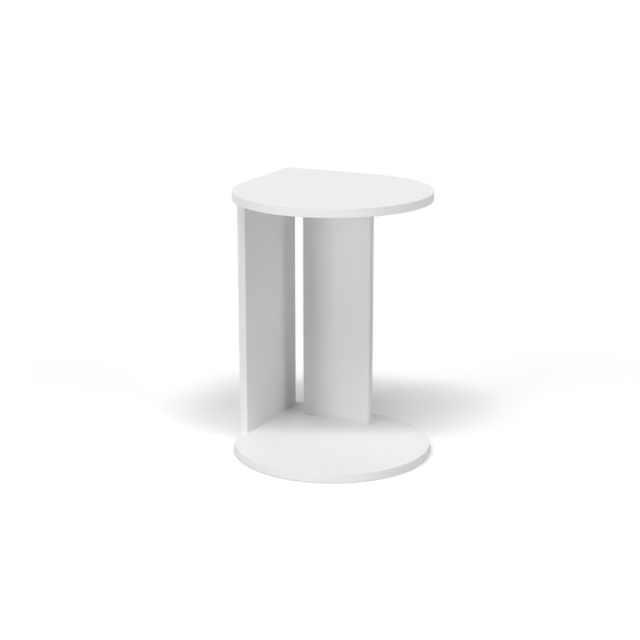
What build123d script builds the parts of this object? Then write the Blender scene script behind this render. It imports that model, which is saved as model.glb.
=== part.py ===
from build123d import *
from math import cos, radians, sin
import os

# A small side table: a top and a base of one teardrop outline, held apart by two upright panels.
# Sizes are in millimetres. The origin is on the floor under the centre of the round edge, +Z is up,
# the front is -Y, and the square corner of the outline points to -X and +Y.

# The table as a whole
table_height = 570.0            # floor to the upper face of the top
outline_radius = 210.0          # round edge; the two straight edges run on from it to the corner
top_thickness = 18.0
base_thickness = 18.0

# The upright panels, placed from the two straight edges
panel_thickness = 18.0
left_panel_length = 238.0
left_panel_side_inset = 4.0     # its outer face, from the left straight edge
left_panel_back_inset = 11.0    # its back end, from the back straight edge
right_panel_length = 163.0
right_panel_side_inset = 73.0   # its inner end, from the left straight edge
right_panel_back_inset = 56.0   # its back face, from the back straight edge

# The strips on the edges
band_thickness = 1.0
band_easing = 0.5               # radius on the outer edges of a strip
glue_line = 0.2                 # between a strip and its board, and between a strip's two ends

# Dowels
dowel_radius = 4.0
dowel_length = 35.0
dowel_in_board = 11.0           # length that stands in the face of the top or the base
dowel_chamfer = 1.0
dowel_end_inset = 24.0          # from the end of a panel
flute_radius = 0.5
flute_count = 12

# Bolts between the top and the cams
bolt_end_inset = 50.0           # from the end of a panel
bolt_drop = 34.0                # from the underside of the top to the middle of the head
bolt_head_radius = 3.5
bolt_head_height = 3.0
bolt_waist_radius = 1.9
bolt_waist_length = 3.5
bolt_neck_radius = 2.5
bolt_collar_radius = 3.75
bolt_collar_height = 2.0
bolt_stud_length = 11.0
bolt_stud_radius = 3.0
bolt_core_radius = 2.3
bolt_thread_pitch = 2.0

# Cams, let in from the face of each panel that is turned away from the table's inside
cam_radius = 7.4
cam_height = 12.5
cam_recess = 0.5                # outer face of the cam, below the panel's face
cam_cross_length = 8.0
cam_cross_width = 1.8
cam_cross_depth = 2.5

# Caps over the cams
cap_radius = 9.5
cap_height = 1.2
cap_easing = 0.6
cap_plug_radius = 0.7
cap_plug_length = 2.0

# Screws from beneath the base
screw_end_inset = 50.0          # from the end of a panel
screw_length = 50.0
screw_sink = 0.5                # head, below the underside of the base
screw_head_radius = 5.0
screw_cone_height = 4.0
screw_shank_radius = 3.5
screw_shank_length = 12.0
screw_core_radius = 2.5
screw_thread_pitch = 3.0
screw_tip_length = 3.0
socket_across_flats = 4.0
socket_depth = 3.0

# Glides under the base
glide_radius = 11.0
glide_height = 3.0
glide_stand = 0.5               # what stands out of the base
glide_easing = 0.4
glide_clearance = 0.3           # round a glide in its pocket
glide_edge_inset = 28.0         # middle of a glide, from the edge of the base
glide_ring_count = 5
glide_start_angle = 55.0
glide_angle_step = -50.0

# Room left in a hole, round a piece and past its end
hole_clearance = 0.1
end_clearance = 1.0

# Heights and places that follow from these
panel_foot = glide_stand + base_thickness
panel_head = table_height - top_thickness
panel_height = panel_head - panel_foot
left_panel_place = Location(
    (
        left_panel_side_inset + panel_thickness / 2 - outline_radius,
        outline_radius - left_panel_back_inset - left_panel_length / 2,
        panel_foot,
    ),
    (0, 0, 90),
)
right_panel_place = Location(
    (
        right_panel_side_inset + right_panel_length / 2 - outline_radius,
        outline_radius - right_panel_back_inset - panel_thickness / 2,
        panel_foot,
    )
)
panels = [(left_panel_place, left_panel_length), (right_panel_place, right_panel_length)]


def fixing_places(end_inset, height):
    """Places on the middle line of both panels, one near each end, at a height over the foot."""
    places = []
    for place, length in panels:
        reach = length / 2 - end_inset
        places += [place * Pos(side * reach, 0, height) for side in (-1, 1)]
    return places


def glide_places():
    """One glide in the square corner, and the others along the round edge."""
    reach = outline_radius - glide_edge_inset
    places = [Pos(-reach, reach, 0)]
    for number in range(glide_ring_count):
        angle = radians(glide_start_angle + number * glide_angle_step)
        places.append(Pos(reach * cos(angle), reach * sin(angle), 0))
    return places


# Places of the fixings, which their holes share; a panel's hidden face is at +Y in its own frame
top_dowel_places = fixing_places(dowel_end_inset, panel_height)
base_dowel_places = [place * Rot(180, 0, 0) for place in fixing_places(dowel_end_inset, 0)]
bolt_places = fixing_places(bolt_end_inset, panel_height)
screw_places = fixing_places(screw_end_inset, -base_thickness)
hidden_face = Plane((0, panel_thickness / 2, 0), x_dir=(-1, 0, 0), z_dir=(0, 1, 0)).location
cam_places = [place * Pos(0, 0, -bolt_drop) * hidden_face for place in bolt_places]


def teardrop(radius):
    """A round face with one square corner, at -X and +Y."""
    corner = Polyline((-radius, 0), (-radius, radius), (0, radius))
    return make_face(corner + CenterArc((0, 0), radius, 90, -270))


def bar(radius, start, end):
    """A round bar along Z, between two heights."""
    return Pos(0, 0, start) * extrude(Circle(radius), end - start)


def turned(points):
    """A solid turned about Z from its half outline of radii and heights."""
    return revolve(make_face(Plane.XZ * Polyline(*points, close=True)), Axis.Z)


def thread_points(start, end, core_radius, crest_radius, pitch):
    """Half outline of a thread's ridges, from one height up to another."""
    turns = max(1, int((end - start) / pitch))
    step = (end - start) / turns
    points = []
    for turn in range(turns):
        foot = start + turn * step
        points += [(core_radius, foot), (crest_radius, foot + step / 2)]
    return points + [(core_radius, end)]


def copies(places, shape):
    return [place * shape for place in places]


def dowel():
    """A fluted dowel along Z that stands in the top or the base above Z = 0."""
    start = dowel_in_board - dowel_length
    pin = bar(dowel_radius, start, dowel_in_board)
    pin = chamfer(pin.edges().filter_by(GeomType.CIRCLE), dowel_chamfer)
    flute = bar(flute_radius, start, dowel_in_board)
    return pin - copies(PolarLocations(dowel_radius, flute_count), flute)


def dowel_hole():
    radius = dowel_radius + hole_clearance
    return bar(radius, dowel_in_board - dowel_length - end_clearance, dowel_in_board + end_clearance)


def cam_bolt():
    """A stud that stands in the top above Z = 0, with its neck and head in the panel below."""
    head_foot = -bolt_drop - bolt_head_height / 2
    head_top = head_foot + bolt_head_height
    waist_top = head_top + bolt_waist_length
    points = [(0, head_foot), (bolt_head_radius, head_foot), (bolt_head_radius, head_top)]
    points += [(bolt_waist_radius, head_top), (bolt_waist_radius, waist_top)]
    points += [(bolt_neck_radius, waist_top), (bolt_neck_radius, -bolt_collar_height)]
    points += [(bolt_collar_radius, -bolt_collar_height), (bolt_collar_radius, 0)]
    points += thread_points(0, bolt_stud_length, bolt_core_radius, bolt_stud_radius, bolt_thread_pitch)
    return turned(points + [(0, bolt_stud_length)])


def stud_hole():
    return bar(bolt_stud_radius + hole_clearance, 0, bolt_stud_length + end_clearance)


def bolt_channel():
    """The way for a bolt from the head of a panel down into the cam's bore."""
    return bar(bolt_collar_radius + hole_clearance, -bolt_drop, 0)


def cam_bore():
    """The bore for a cam, with the panel's face at Z = 0."""
    return bar(cam_radius + hole_clearance, -cam_recess - cam_height - end_clearance, 0)


def cam_channel(half_width, start, end):
    """A channel from the cam's inner end out to the bolt, between two places along Y."""
    low = -cam_recess - cam_height
    high = half_width - panel_thickness / 2
    return Pos(0, (start + end) / 2, low) * extrude(Rectangle(2 * half_width, end - start), high - low)


def cam_lock():
    """A round cam with the panel's face at Z = 0; the bolt comes in along Y."""
    head_end = bolt_head_height / 2 + hole_clearance
    waist_end = bolt_head_height / 2 + bolt_waist_length - hole_clearance
    cam = bar(cam_radius, -cam_recess - cam_height, -cam_recess)
    cam -= cam_channel(bolt_head_radius + hole_clearance, -head_end, head_end)
    cam -= cam_channel(bolt_waist_radius + hole_clearance, head_end, waist_end)
    cam -= cam_channel(bolt_neck_radius + hole_clearance, waist_end, cam_radius)
    cross = Rectangle(cam_cross_length, cam_cross_width) + Rectangle(cam_cross_width, cam_cross_length)
    return cam - Pos(0, 0, -cam_recess) * extrude(cross, -cam_cross_depth)


def cam_cap():
    """A cap that lies on the panel's face at Z = 0 and plugs into the cam's cross."""
    disc = bar(cap_radius, 0, cap_height)
    disc = fillet(disc.edges().group_by(Axis.Z)[-1], cap_easing)
    return disc + bar(cap_plug_radius, -cap_plug_length, 0)


def base_screw():
    """A countersunk screw that points up from the underside of the base at Z = 0."""
    tip = screw_sink + screw_length
    thread_foot = screw_sink + screw_shank_length
    thread_top = tip - screw_tip_length
    points = [(0, screw_sink), (screw_head_radius, screw_sink)]
    points += [(screw_shank_radius, screw_sink + screw_cone_height), (screw_shank_radius, thread_foot)]
    points += thread_points(
        thread_foot, thread_top, screw_core_radius, screw_shank_radius, screw_thread_pitch
    )
    socket = RegularPolygon(socket_across_flats / 2, 6, major_radius=False)
    return turned(points + [(0, tip)]) - Pos(0, 0, screw_sink) * extrude(socket, socket_depth)


def screw_hole():
    """A countersunk hole through the base and on up into a panel."""
    mouth_radius = screw_head_radius + hole_clearance
    bore_radius = screw_shank_radius + hole_clearance
    tip = screw_sink + screw_length + end_clearance
    points = [(0, 0), (mouth_radius, 0), (mouth_radius, screw_sink)]
    points += [(bore_radius, screw_sink + screw_cone_height), (bore_radius, tip), (0, tip)]
    return turned(points)


def glide():
    """A low round glide that stands on the floor at Z = 0."""
    pad = bar(glide_radius, 0, glide_height)
    return fillet(pad.edges().group_by(Axis.Z)[0], glide_easing)


def glide_pocket():
    return bar(glide_radius + glide_clearance, 0, glide_height)


def teardrop_core(thickness):
    return extrude(teardrop(outline_radius - band_thickness - glue_line), thickness)


def teardrop_band(thickness):
    """The strip round a top or a base, from the square corner round to the square corner."""
    blank = extrude(teardrop(outline_radius), thickness)
    levels = blank.edges().group_by(Axis.Z)
    corner_foot = (-outline_radius, outline_radius, 0)
    corner = blank.edges().filter_by(Axis.Z).sort_by_distance(corner_foot)[0]
    ring = fillet(levels[0] + levels[-1] + [corner], band_easing)
    ring -= extrude(teardrop(outline_radius - band_thickness), thickness)
    joint = Pos(band_thickness - outline_radius, outline_radius - band_thickness, 0)
    return ring - joint * Box(glue_line, band_thickness, thickness, align=Align.MIN)


def panel_core(place, length):
    """An upright panel between its two strips, with the holes for its fixings."""
    core_length = length - 2 * (band_thickness + glue_line)
    core = place * extrude(Rectangle(core_length, panel_thickness), panel_height)
    core -= copies(top_dowel_places + base_dowel_places, dowel_hole())
    core -= copies(bolt_places, bolt_channel()) + copies(cam_places, cam_bore())
    return core - copies(screw_places, screw_hole())


def panel_strips(place, length):
    """The two end strips of a panel; the front or inner one comes first."""
    blank = extrude(Rectangle(length, panel_thickness), panel_height)
    blank = fillet(blank.edges().filter_by(Axis.Z), band_easing)
    blank -= extrude(Rectangle(length - 2 * band_thickness, panel_thickness), panel_height)
    first_end = (place * Pos(-length / 2, 0, 0)).position
    return (place * blank).solids().sort_by_distance(first_end)


def top_board():
    core = Pos(0, 0, panel_head) * teardrop_core(top_thickness)
    core -= copies(top_dowel_places, dowel_hole())
    return core - copies(bolt_places, stud_hole())


def base_board():
    core = Pos(0, 0, glide_stand) * teardrop_core(base_thickness)
    core -= copies(base_dowel_places, dowel_hole())
    core -= copies(screw_places, screw_hole())
    return core - copies(glide_places(), glide_pocket())


left_strips = panel_strips(left_panel_place, left_panel_length)
right_strips = panel_strips(right_panel_place, right_panel_length)

pieces = {
    "top_board": top_board(),
    "top_edge_band": Pos(0, 0, panel_head) * teardrop_band(top_thickness),
    "base_board": base_board(),
    "base_edge_band": Pos(0, 0, glide_stand) * teardrop_band(base_thickness),
    "left_panel": panel_core(left_panel_place, left_panel_length),
    "left_panel_front_edge": left_strips[0],
    "left_panel_back_edge": left_strips[1],
    "right_panel": panel_core(right_panel_place, right_panel_length),
    "right_panel_inner_edge": right_strips[0],
    "right_panel_outer_edge": right_strips[1],
    "top_dowels": Compound(copies(top_dowel_places, dowel())),
    "base_dowels": Compound(copies(base_dowel_places, dowel())),
    "cam_bolts": Compound(copies(bolt_places, cam_bolt())),
    "cam_locks": Compound(copies(cam_places, cam_lock())),
    "cam_caps": Compound(copies(cam_places, cam_cap())),
    "base_screws": Compound(copies(screw_places, base_screw())),
    "glides": Compound(copies(glide_places(), glide())),
}

os.makedirs("parts", exist_ok=True)
for name, piece in pieces.items():
    export_step(piece, f"parts/{name}.step")
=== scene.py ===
import bmesh
import bpy
from math import cos, pi, radians, sin, tan
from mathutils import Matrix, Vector


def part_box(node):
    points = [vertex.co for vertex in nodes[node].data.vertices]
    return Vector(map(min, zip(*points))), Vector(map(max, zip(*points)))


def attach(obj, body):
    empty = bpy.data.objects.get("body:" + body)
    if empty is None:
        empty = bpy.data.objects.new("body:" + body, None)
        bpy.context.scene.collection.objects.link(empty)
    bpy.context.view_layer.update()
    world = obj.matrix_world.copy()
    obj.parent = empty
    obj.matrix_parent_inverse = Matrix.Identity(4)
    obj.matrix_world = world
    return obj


# A white side table: a teardrop top and base on two upright panels, in satin white board with
# white edging strips. Lengths are in metres, and the frame is the table's own.

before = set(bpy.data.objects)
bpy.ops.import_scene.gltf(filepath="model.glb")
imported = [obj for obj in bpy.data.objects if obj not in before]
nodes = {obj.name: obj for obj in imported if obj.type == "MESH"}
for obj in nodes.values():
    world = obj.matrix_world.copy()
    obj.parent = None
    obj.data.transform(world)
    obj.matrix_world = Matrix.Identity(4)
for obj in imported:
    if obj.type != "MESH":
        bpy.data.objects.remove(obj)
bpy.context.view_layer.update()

# Sizes read from the frame
outline_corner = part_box("top_edge_band")[1]
outline_radius = outline_corner.x
table_height = outline_corner.z
front_edge_low, front_edge_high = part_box("left_panel_front_edge")
strip_thickness = front_edge_high.y - front_edge_low.y

# The axes by number: x points right, y to the back and z up
x_axis, y_axis, z_axis = range(3)

# How strongly hard white plastic, melamine and dry wood bend light
usual_ior = 1.5


class Value:
    """A socket whose value varies; each sum with it adds a Math node."""

    def __init__(self, finish, socket):
        self.finish = finish
        self.socket = socket

    def math(self, operation, *terms, clamp=False):
        settings = {"operation": operation, "use_clamp": clamp}
        return self.finish.add("ShaderNodeMath", settings, dict(enumerate(terms)))

    def __add__(self, other):
        return self.math("ADD", self, other)

    def __sub__(self, other):
        return self.math("SUBTRACT", self, other)

    def __rsub__(self, other):
        return self.math("SUBTRACT", other, self)

    def __mul__(self, other):
        return self.math("MULTIPLY", self, other)

    def __truediv__(self, other):
        return self.math("DIVIDE", self, other)

    def __abs__(self):
        return self.math("ABSOLUTE", self)

    def __lt__(self, other):
        return self.math("LESS_THAN", self, other)

    __radd__ = __add__
    __rmul__ = __mul__

    def root(self):
        return self.math("SQRT", self)

    def clamped(self):
        """The value kept between 0 and 1."""
        return self.math("ADD", self, 0.0, clamp=True)

    def swing(self, amount):
        """Noise from 0 to 1 made into a swing to both sides of 0."""
        return (self - 0.5) * amount


class Finish:
    """The nodes of one material, or of the world."""

    # The Mix node has a pair of inputs and an output of its own for each kind of data
    mix_sockets = {"RGBA": (6, 7, 2), "VECTOR": (4, 5, 1)}

    def __init__(self, tree):
        self.tree = tree
        self.tree.nodes.clear()

    def add(self, kind, settings=None, inputs=None, output=0):
        """A node with its settings made first, then the values or links of its sockets."""
        node = self.tree.nodes.new(kind)
        for name, value in (settings or {}).items():
            if name == "stops":
                self.set_stops(node.color_ramp, value)
            else:
                setattr(node, name, value)
        for name, value in (inputs or {}).items():
            self.join(node.inputs[name], value)
        return Value(self, node.outputs[output] if node.outputs else None)

    def set_stops(self, ramp, stops):
        while len(ramp.elements) < len(stops):
            ramp.elements.new(1.0)
        for element, (place, shade) in zip(ramp.elements, stops):
            element.position = place
            element.color = (shade, shade, shade, 1.0)

    def join(self, socket, value):
        if isinstance(value, Value):
            self.tree.links.new(value.socket, socket)
        elif socket.type == "RGBA":
            socket.default_value = (*value, 1.0)
        else:
            socket.default_value = value

    def place(self):
        """The point on the surface, in the table's own frame."""
        return self.add("ShaderNodeTexCoord", output="Object")

    def parts(self, vector):
        """The three numbers of a vector."""
        split = self.add("ShaderNodeSeparateXYZ", inputs={0: vector}).socket.node
        return [Value(self, socket) for socket in split.outputs]

    def stretched(self, vector, scale):
        """A vector with each of its parts multiplied by its own scale."""
        return self.add("ShaderNodeVectorMath", {"operation": "MULTIPLY"}, {0: vector, 1: scale})

    def noise(self, vector, size, detail=2.0, roughness=0.5):
        """Soft noise from 0 to 1 with features of a given size."""
        inputs = {"Vector": vector, "Scale": 1 / size, "Detail": detail, "Roughness": roughness}
        return self.add("ShaderNodeTexNoise", inputs=inputs)

    def cells(self, vector, size, output="Distance", feature="F1"):
        """A pattern of cells of a given size."""
        inputs = {"Vector": vector, "Scale": 1 / size}
        return self.add("ShaderNodeTexVoronoi", {"feature": feature}, inputs, output)

    def ramp(self, value, stops):
        """A value led through stops, each a place and a level."""
        return self.add("ShaderNodeValToRGB", {"stops": stops}, {0: value})

    def mix(self, share, first, second, kind="RGBA"):
        """One colour, or with the kind VECTOR one normal, turning into another."""
        first_input, second_input, result = self.mix_sockets[kind]
        inputs = {0: share, first_input: first, second_input: second}
        return self.add("ShaderNodeMix", {"data_type": kind}, inputs, result)

    def bump(self, height, depth):
        """A bumpy normal from a height; depth is in metres, for a height of 1."""
        return self.add("ShaderNodeBump", inputs={"Height": height, "Distance": depth})

    def seen(self):
        """1 for rays that show the surface, straight or in gloss or glass, and 0 for the rest."""
        paths = self.add("ShaderNodeLightPath").socket.node
        kinds = ("Is Camera Ray", "Is Glossy Ray", "Is Transmission Ray")
        camera, glossy, through = (Value(self, paths.outputs[kind]) for kind in kinds)
        return (camera + glossy + through).clamped()

    def shade(self, colour, roughness, normal, metallic=0.0, ior=usual_ior):
        """The one shader of a surface, joined to the output."""
        inputs = {"Base Color": colour, "Roughness": roughness, "Normal": normal}
        inputs |= {"Metallic": metallic, "IOR": ior}
        shader = self.add("ShaderNodeBsdfPrincipled", inputs=inputs)
        self.add("ShaderNodeOutputMaterial", inputs={"Surface": shader})


def new_finish(name):
    """A new material, and the nodes that it is built from."""
    material = bpy.data.materials.new(name)
    material.use_nodes = True
    return material, Finish(material.node_tree)


def give(material, *names):
    """Puts a material on CAD nodes."""
    for name in names:
        nodes[name].material_slots[0].material = material


def from_middle(finish, place, node, axis):
    """How far a point lies from a node's middle along an axis, and half the node's size there."""
    low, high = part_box(node)
    middle = (low[axis] + high[axis]) / 2
    return abs(finish.parts(place)[axis] - middle), (high[axis] - low[axis]) / 2


# White board: melamine on the two faces, bare particle board where it is cut or drilled

board_white = (0.862, 0.862, 0.862)
board_white_low = (0.848, 0.848, 0.847)
board_roughness = 0.5

cloud_size = 0.09
cloud_detail = 3.0
cloud_tone = 0.7
cloud_roughness = 0.1
pearl_size = 0.0006
pearl_detail = 1.0
pearl_tone = 0.3
pearl_roughness = 0.06
pearl_depth = 0.000012
ripple_size = 0.007
ripple_depth = 0.00002
wiped_size = 0.02
wiped_stretch = (1.0, 0.3, 0.6)
wiped_stops = ((0.45, 0.0), (0.75, 1.0))
wiped_polish = 0.06

face_tolerance = 0.00004
bare_roughness = 0.4
chip_long = 0.005
chip_wide = 0.0016
chip_pale = (0.58, 0.44, 0.27)
chip_dark = (0.3, 0.2, 0.11)
chip_tone = 0.7
dust_tone = 0.45
chip_depth = 0.0003
gap_height = 2.0
dust_height = 0.4


def chipboard(finish, place):
    """Colour and height of cut particle board: flat chips of many browns, packed with dust."""
    packed = finish.stretched(place, (1.0, 1.0, chip_long / chip_wide))
    chips = finish.cells(packed, chip_long, "Color")
    tone = finish.parts(chips)[0]
    dust = finish.noise(place, chip_wide, detail=4.0, roughness=0.7)
    gaps = finish.cells(packed, chip_long, "Distance", "DISTANCE_TO_EDGE")
    colour = finish.mix((tone * chip_tone + dust * dust_tone).clamped(), chip_dark, chip_pale)
    height = (gaps * gap_height + dust * dust_height).clamped()
    return colour, height


def melamine(finish, place):
    """Colour, roughness and height of a satin white face, a little glossier where it is wiped."""
    clouds = finish.noise(place, cloud_size, cloud_detail)
    pearl = finish.noise(place, pearl_size, pearl_detail)
    ripple = finish.noise(place, ripple_size, detail=1.0)
    wide = finish.stretched(place, wiped_stretch)
    streaks = finish.noise(wide, wiped_size, detail=5.0, roughness=0.7)
    wiped = finish.ramp(streaks, wiped_stops)
    tone = (clouds * cloud_tone + pearl * pearl_tone).clamped()
    colour = finish.mix(tone, board_white_low, board_white)
    uneven = clouds.swing(cloud_roughness) + pearl.swing(pearl_roughness)
    roughness = board_roughness + uneven - wiped * wiped_polish
    height = pearl * (pearl_depth / ripple_depth) + ripple
    return colour, roughness, height


def board_finish(board, thickness_axis):
    material, finish = new_finish("melamine_" + board.replace("_board", ""))
    place = finish.place()
    across, half = from_middle(finish, place, board, thickness_axis)
    bare = across < half - face_tolerance
    white, roughness, height = melamine(finish, place)
    brown, chip_height = chipboard(finish, place)
    smooth_normal = finish.bump(height, ripple_depth)
    chip_normal = finish.bump(chip_height, chip_depth)
    finish.shade(
        finish.mix(bare, white, brown),
        roughness + bare * bare_roughness,
        finish.mix(bare, smooth_normal, chip_normal, "VECTOR"),
    )
    return material


thickness_axes = {
    "top_board": z_axis,
    "base_board": z_axis,
    "left_panel": x_axis,
    "right_panel": y_axis,
}
for board, thickness_axis in thickness_axes.items():
    give(board_finish(board, thickness_axis), board)


# Edging: white strips with painted light, scraped to a small radius along both edges

# Painted light: the strips' white is about 2% lighter than the boards' white, to make up for light
# that the rims and panel ends lack
strip_white_and_painted_light = (0.878, 0.878, 0.878)
strip_white_low_and_painted_light = (0.866, 0.866, 0.865)
strip_roughness = 0.45
strip_cloud_tone = 0.6
strip_cloud_roughness = 0.08
strip_line_tone = 0.4
strip_line_size = 0.0005
strip_line_stretch = 0.02
strip_depth = 0.00001
scrape_white = (0.856, 0.856, 0.854)
scrape_width = 0.0009
scrape_roughness = 0.08


def strip_finish(name, strip, width_axis):
    material, finish = new_finish(name)
    place = finish.place()
    across, half = from_middle(finish, place, strip, width_axis)
    scraped = ((across - (half - scrape_width)) * (1 / scrape_width)).clamped()
    scale = [strip_line_stretch] * 3
    scale[width_axis] = 1.0
    lines = finish.noise(finish.stretched(place, scale), strip_line_size, roughness=0.6)
    clouds = finish.noise(place, cloud_size, cloud_detail)
    pearl = finish.noise(place, pearl_size, pearl_detail)
    tone = (clouds * strip_cloud_tone + lines * strip_line_tone).clamped()
    # The strips' white, lighter than the boards' white by painted light
    white = finish.mix(tone, strip_white_low_and_painted_light, strip_white_and_painted_light)
    finish.shade(
        finish.mix(scraped * lines, white, scrape_white),
        strip_roughness + clouds.swing(strip_cloud_roughness) + scraped * scrape_roughness,
        finish.bump(lines * scraped + pearl, strip_depth),
    )
    return material


edgings = {
    # material: the axis across the width of its strips, then the strips
    "edging_top": (z_axis, "top_edge_band"),
    "edging_base": (z_axis, "base_edge_band"),
    "edging_left_panel": (x_axis, "left_panel_front_edge", "left_panel_back_edge"),
    "edging_right_panel": (y_axis, "right_panel_inner_edge", "right_panel_outer_edge"),
}
for edging, (width_axis, *strips) in edgings.items():
    give(strip_finish(edging, strips[0], width_axis), *strips)


# Moulded plastic: the caps over the cams and the glides under the base

cap_white = (0.84, 0.84, 0.835)
cap_white_low = (0.81, 0.81, 0.8)
cap_roughness = 0.38
cap_cloud_size = 0.02
mould_grain_size = 0.0004
mould_grain_depth = 0.00001
mould_grain_roughness = 0.12

glide_grey = (0.56, 0.56, 0.55)
glide_grey_low = (0.44, 0.44, 0.43)
glide_roughness = 0.5
drag_line_size = 0.0007
drag_line_stretch = (1.0, 0.03, 1.0)
worn_stops = ((0.5, 0.0), (0.7, 1.0))
worn_tone = 0.6
worn_roughness = 0.2


def cap_finish():
    material, finish = new_finish("moulded_white_caps")
    place = finish.place()
    grain = finish.noise(place, mould_grain_size)
    clouds = finish.noise(place, cap_cloud_size, cloud_detail)
    finish.shade(
        finish.mix(clouds, cap_white_low, cap_white),
        cap_roughness + grain * mould_grain_roughness,
        finish.bump(grain, mould_grain_depth),
    )
    return material


def glide_finish():
    """Pale grey plastic, scratched from being pushed over floors."""
    material, finish = new_finish("moulded_grey_glides")
    place = finish.place()
    grain = finish.noise(place, mould_grain_size)
    dragged = finish.stretched(place, drag_line_stretch)
    scratches = finish.noise(dragged, drag_line_size, detail=3.0, roughness=0.7)
    worn = finish.ramp(scratches, worn_stops)
    tone = (grain * (1 - worn_tone) + worn * worn_tone).clamped()
    finish.shade(
        finish.mix(tone, glide_grey, glide_grey_low),
        glide_roughness + worn * worn_roughness,
        finish.bump(grain - worn, mould_grain_depth),
    )
    return material


give(cap_finish(), "cam_caps")
give(glide_finish(), "glides")


# Metal: zinc plated bolts and screws, and die-cast cams

plating_pale = (0.74, 0.75, 0.77)
plating_dark = (0.56, 0.57, 0.58)
plating_roughness = 0.26
plating_spot_size = 0.0012
plating_spot_roughness = 0.12
turning_line_size = 0.00025
turning_line_stretch = (0.05, 0.05, 1.0)
turning_line_roughness = 0.08
turning_line_depth = 0.00001

casting_pale = (0.6, 0.61, 0.62)
casting_dark = (0.42, 0.42, 0.43)
casting_roughness = 0.45
casting_grain_size = 0.0005
casting_grain_tone = 0.5
casting_grain_roughness = 0.15
casting_grain_depth = 0.00002
casting_flow_size = 0.0036


def plated_finish():
    material, finish = new_finish("plated_steel")
    place = finish.place()
    spots = finish.noise(place, plating_spot_size, detail=3.0)
    turned = finish.stretched(place, turning_line_stretch)
    lines = finish.noise(turned, turning_line_size, roughness=0.6)
    finish.shade(
        finish.mix(spots, plating_dark, plating_pale),
        plating_roughness + spots * plating_spot_roughness + lines * turning_line_roughness,
        finish.bump(lines, turning_line_depth),
        metallic=1.0,
    )
    return material


def casting_finish():
    material, finish = new_finish("die_cast_zinc")
    place = finish.place()
    grain = finish.noise(place, casting_grain_size, detail=4.0, roughness=0.7)
    flow = finish.noise(place, casting_flow_size)
    tone = (grain * casting_grain_tone + flow * (1 - casting_grain_tone)).clamped()
    finish.shade(
        finish.mix(tone, casting_dark, casting_pale),
        casting_roughness + grain * casting_grain_roughness,
        finish.bump(grain, casting_grain_depth),
        metallic=1.0,
    )
    return material


give(plated_finish(), "cam_bolts", "base_screws")
give(casting_finish(), "cam_locks")


# Beech dowels

beech_pale = (0.66, 0.47, 0.29)
beech_dark = (0.5, 0.32, 0.18)
beech_roughness = 0.62
beech_grain_size = 0.0008
beech_grain_stretch = (1.0, 1.0, 0.06)
beech_grain_roughness = 0.12
beech_depth = 0.00004
fleck_brown = (0.38, 0.22, 0.12)
fleck_size = 0.0006
fleck_stretch = (1.0, 1.0, 0.3)
fleck_stops = ((0.6, 0.0), (0.68, 1.0))
fleck_tone = 0.7
fleck_dip = 0.5


def beech_finish():
    """Fine straight grain along z with short dark flecks."""
    material, finish = new_finish("beech")
    place = finish.place()
    lengthwise = finish.stretched(place, beech_grain_stretch)
    grain = finish.noise(lengthwise, beech_grain_size, detail=4.0, roughness=0.6)
    flecks = finish.noise(finish.stretched(place, fleck_stretch), fleck_size, detail=1.0)
    dark = finish.ramp(flecks, fleck_stops)
    wood = finish.mix(grain, beech_dark, beech_pale)
    finish.shade(
        finish.mix(dark * fleck_tone, wood, fleck_brown),
        beech_roughness + grain * beech_grain_roughness,
        finish.bump(grain - dark * fleck_dip, beech_depth),
    )
    return material


give(beech_finish(), "top_dowels", "base_dowels")


# Glue lines: a hairline of pale glue in each joint between a board and its strip

glue_pale = (0.83, 0.825, 0.805)
glue_dark = (0.74, 0.725, 0.69)
glue_roughness = 0.5
glue_spot_size = 0.002
glue_spot_roughness = 0.15
glue_ior = 1.48
# The share of the joint that the glue fills, how far it lies below the boards' faces, and how
# much deeper it dips in its middle
glue_share = 0.6
glue_sink = 0.00004
glue_dip = 0.00003
# The round part of the outline runs from the back, by the right and the front, to the left
arc_start = radians(90)
arc_sweep = radians(270)
arc_steps = 200


def glue_finish():
    material, finish = new_finish("hot_melt_glue")
    spots = finish.noise(finish.place(), glue_spot_size, detail=3.0)
    finish.shade(
        finish.mix(spots, glue_dark, glue_pale),
        glue_roughness + spots * glue_spot_roughness,
        finish.bump(spots, glue_dip),
        ior=glue_ior,
    )
    return material


glue = glue_finish()


def add_bead(name, stations, rise, low, high, width, closed):
    """A thin bead of glue through stations, each a point and the way across the joint there."""
    half = width / 2
    section = [(-half, low), (0.0, low + glue_dip), (half, low)]
    section += [(half, high), (0.0, high - glue_dip), (-half, high)]
    shape = bmesh.new()
    rings = []
    for point, side in stations:
        ring = [shape.verts.new(point + side * across + rise * along) for across, along in section]
        rings.append(ring)
    next_rings = rings[1:] + rings[:1] if closed else rings[1:]
    for ring, next_ring in zip(rings, next_rings):
        for corner in range(len(section)):
            after = (corner + 1) % len(section)
            shape.faces.new((ring[corner], ring[after], next_ring[after], next_ring[corner]))
    if not closed:
        shape.faces.new(rings[0])
        shape.faces.new(rings[-1][::-1])
    bmesh.ops.recalc_face_normals(shape, faces=shape.faces)
    mesh = bpy.data.meshes.new(name)
    shape.to_mesh(mesh)
    shape.free()
    mesh.materials.append(glue)
    bead = bpy.data.objects.new(name, mesh)
    bpy.context.scene.collection.objects.link(bead)
    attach(bead, "root")


def axis_vector(axis):
    """The vector of length 1 along an axis."""
    vector = Vector((0.0, 0.0, 0.0))
    vector[axis] = 1.0
    return vector


def teardrop_stations(radius):
    """Stations along the teardrop outline: its square corner, then the round part."""
    stations = [(Vector((-radius, radius, 0.0)), Vector((-1.0, 1.0, 0.0)))]
    for step in range(arc_steps + 1):
        angle = arc_start - arc_sweep * step / arc_steps
        out = Vector((cos(angle), sin(angle), 0.0))
        stations.append((out * radius, out))
    return stations


def add_round_bead(board):
    """The bead between the top or the base and the strip round it."""
    low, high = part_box(board)
    joint = outline_radius - strip_thickness - high.x
    add_bead(
        board.replace("board", "glue_line"),
        teardrop_stations(high.x + joint / 2),
        axis_vector(z_axis),
        low.z + glue_sink,
        high.z - glue_sink,
        joint * glue_share,
        closed=True,
    )


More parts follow.
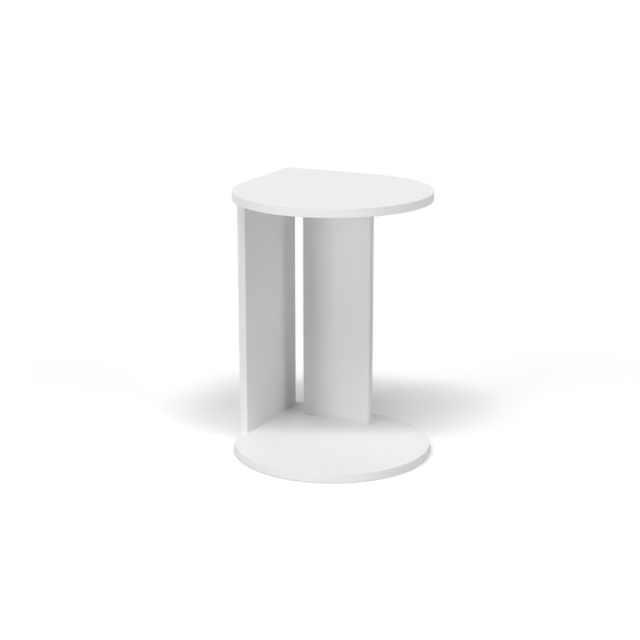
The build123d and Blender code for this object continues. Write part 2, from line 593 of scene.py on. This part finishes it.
def add_panel_bead(panel, strip, along, across):
    """The bead between a panel and the strip on one end, with the axes along and across it."""
    low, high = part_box(panel)
    strip_low, strip_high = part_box(strip)
    inner, outer = high[along], strip_low[along]
    if outer < inner:
        inner, outer = low[along], strip_high[along]
    side = axis_vector(along)
    middle = side * (inner + outer) / 2
    add_bead(
        strip.replace("edge", "glue_line"),
        [(middle + axis_vector(z_axis) * z, side) for z in (low.z, high.z)],
        axis_vector(across),
        low[across] + glue_sink,
        high[across] - glue_sink,
        abs(outer - inner) * glue_share,
        closed=False,
    )


for board in ("top_board", "base_board"):
    add_round_bead(board)
for strip in ("left_panel_front_edge", "left_panel_back_edge"):
    add_panel_bead("left_panel", strip, along=y_axis, across=x_axis)
for strip in ("right_panel_inner_edge", "right_panel_outer_edge"):
    add_panel_bead("right_panel", strip, along=x_axis, across=y_axis)


# Camera, where the photograph was taken from

camera_turn = radians(25.68)
camera_pitch = radians(15.04)
camera_distance = 3.3625
camera_lens = 89.0
camera_reach = 100.0
aim_left = 0.02695
aim_up = 0.0043


def add_camera():
    data = bpy.data.cameras.new("camera")
    camera = bpy.data.objects.new("camera", data)
    bpy.context.scene.collection.objects.link(camera)
    level = Vector((-sin(camera_turn), cos(camera_turn), 0.0))
    right = Vector((cos(camera_turn), sin(camera_turn), 0.0))
    forward = level * cos(camera_pitch) - axis_vector(z_axis) * sin(camera_pitch)
    up = right.cross(forward)
    aim = axis_vector(z_axis) * (table_height / 2) - right * aim_left + up * aim_up
    camera.location = aim - forward * camera_distance
    camera.rotation_euler = forward.to_track_quat("-Z", "Y").to_euler()
    data.lens = camera_lens
    data.clip_end = camera_reach
    bpy.context.scene.camera = camera


add_camera()


# Floor: plain and white, with the table's shadow on it

plain_black = (0.0, 0.0, 0.0)
plain_white = (1.0, 1.0, 1.0)
floor_height = 0.0
floor_reach = 40.0
floor_segments = 96
# The white that lights the table from below, and the light added to what is seen of the floor
floor_white = (0.57, 0.57, 0.57)
floor_glow = 0.1
# The floor turns plain white between these two distances from the middle of the table
lit_reach = 0.55
plain_reach = 1.1
# Painted shade: the grey that the floor's colour turns to where the base stands close by, found by
# ambient occlusion, and how far that reaches
painted_contact_shade_grey = (0.45, 0.45, 0.45)
painted_contact_shade_reach = 0.02


def floor_finish():
    """A diffuse floor with painted shade where it meets the table, and plain white far away."""
    material, finish = new_finish("studio_floor")
    x, y, _ = finish.parts(finish.place())
    reach = (x * x + y * y).root()
    far = ((reach - lit_reach) / (plain_reach - lit_reach)).clamped()
    seen = finish.seen()
    clear_inputs = {"Distance": painted_contact_shade_reach}
    clear = finish.add("ShaderNodeAmbientOcclusion", inputs=clear_inputs, output="AO")
    # Painted shade: the seen white, and the glow below, darken by ambient occlusion near the base
    seen_white_with_painted_shade = finish.mix(clear, painted_contact_shade_grey, plain_white)
    near_inputs = {
        "Base Color": finish.mix(seen, floor_white, seen_white_with_painted_shade),
        "Roughness": 1.0,
        "Specular IOR Level": 0.0,
        "Emission Color": finish.mix(seen * clear, plain_black, plain_white),
        "Emission Strength": floor_glow,
    }
    near = finish.add("ShaderNodeBsdfPrincipled", inputs=near_inputs)
    plain = finish.add("ShaderNodeEmission", inputs={"Color": plain_white, "Strength": 1.0})
    surface = finish.add("ShaderNodeMixShader", inputs={0: far * seen, 1: near, 2: plain})
    finish.add("ShaderNodeOutputMaterial", inputs={"Surface": surface})
    return material


def add_floor():
    mesh = bpy.data.meshes.new("floor")
    shape = bmesh.new()
    bmesh.ops.create_circle(shape, cap_ends=True, radius=floor_reach, segments=floor_segments)
    shape.to_mesh(mesh)
    shape.free()
    floor = bpy.data.objects.new("floor", mesh)
    floor.location.z = floor_height
    bpy.context.scene.collection.objects.link(floor)
    mesh.materials.append(floor_finish())


add_floor()


# Light: far oblong lamps, each an even panel, in a white world that only shows, also in gloss

lamp_distance = 20.0

lamps = {
    # turn, height, width and tallness in degrees, then the strength;
    # turn 0 is in front of the table and turn 90 on its right
    "high_front_lamp": (26.0, 64.0, 34.0, 5.0, 1.75),
    "high_right_lamp": (55.0, 64.0, 15.0, 18.0, 0.5),
    "high_left_lamp": (-5.0, 58.0, 15.0, 5.0, 0.25),
    "outer_high_left_lamp": (-20.0, 58.0, 15.0, 18.0, 0.2),
    "low_left_lamp": (-30.0, 16.0, 15.0, 30.0, 0.35),
    "lower_left_lamp": (-30.0, 8.0, 15.0, 16.0, 0.5),
    "outer_low_left_lamp": (-37.0, 10.0, 15.0, 15.0, 0.2),
    "left_side_lamp": (-65.0, 20.0, 20.0, 30.0, 0.05),
    "low_right_lamp": (80.0, 18.0, 30.0, 35.0, 0.65),
    "right_back_lamp": (150.0, 20.0, 30.0, 30.0, 0.1),
    "left_back_lamp": (-120.0, 20.0, 30.0, 25.0, 0.4),
    "high_back_lamp": (-160.0, 50.0, 30.0, 25.0, 0.1),
}


def add_world():
    world = bpy.data.worlds.new("studio")
    world.use_nodes = True
    bpy.context.scene.world = world
    finish = Finish(world.node_tree)
    colour = finish.mix(finish.seen(), plain_black, plain_white)
    sky = finish.add("ShaderNodeBackground", inputs={"Color": colour, "Strength": 1.0})
    finish.add("ShaderNodeOutputWorld", inputs={"Surface": sky})


def lamp_size(angle):
    """The size at which a lamp spans an angle in degrees, seen from the table."""
    return 2 * lamp_distance * tan(radians(angle / 2))


def add_lamp(name, turn, height, width, tallness, strength):
    """A far oblong lamp; what faces it gets the light that a sun of its strength gives."""
    data = bpy.data.lights.new(name, "AREA")
    data.shape = "RECTANGLE"
    data.size = lamp_size(width)
    data.size_y = lamp_size(tallness)
    data.energy = strength * pi * lamp_distance ** 2
    lamp = bpy.data.objects.new(name, data)
    lamp.visible_camera = False
    lamp.visible_glossy = False
    bpy.context.scene.collection.objects.link(lamp)
    level = Vector((sin(radians(turn)), -cos(radians(turn)), 0.0))
    away = level * cos(radians(height)) + axis_vector(z_axis) * sin(radians(height))
    lamp.location = away * lamp_distance
    lamp.rotation_euler = away.to_track_quat("Z", "Y").to_euler()


add_world()
for lamp_name, lamp_values in lamps.items():
    add_lamp(lamp_name, *lamp_values)

bpy.context.scene.view_settings.view_transform = "Standard"
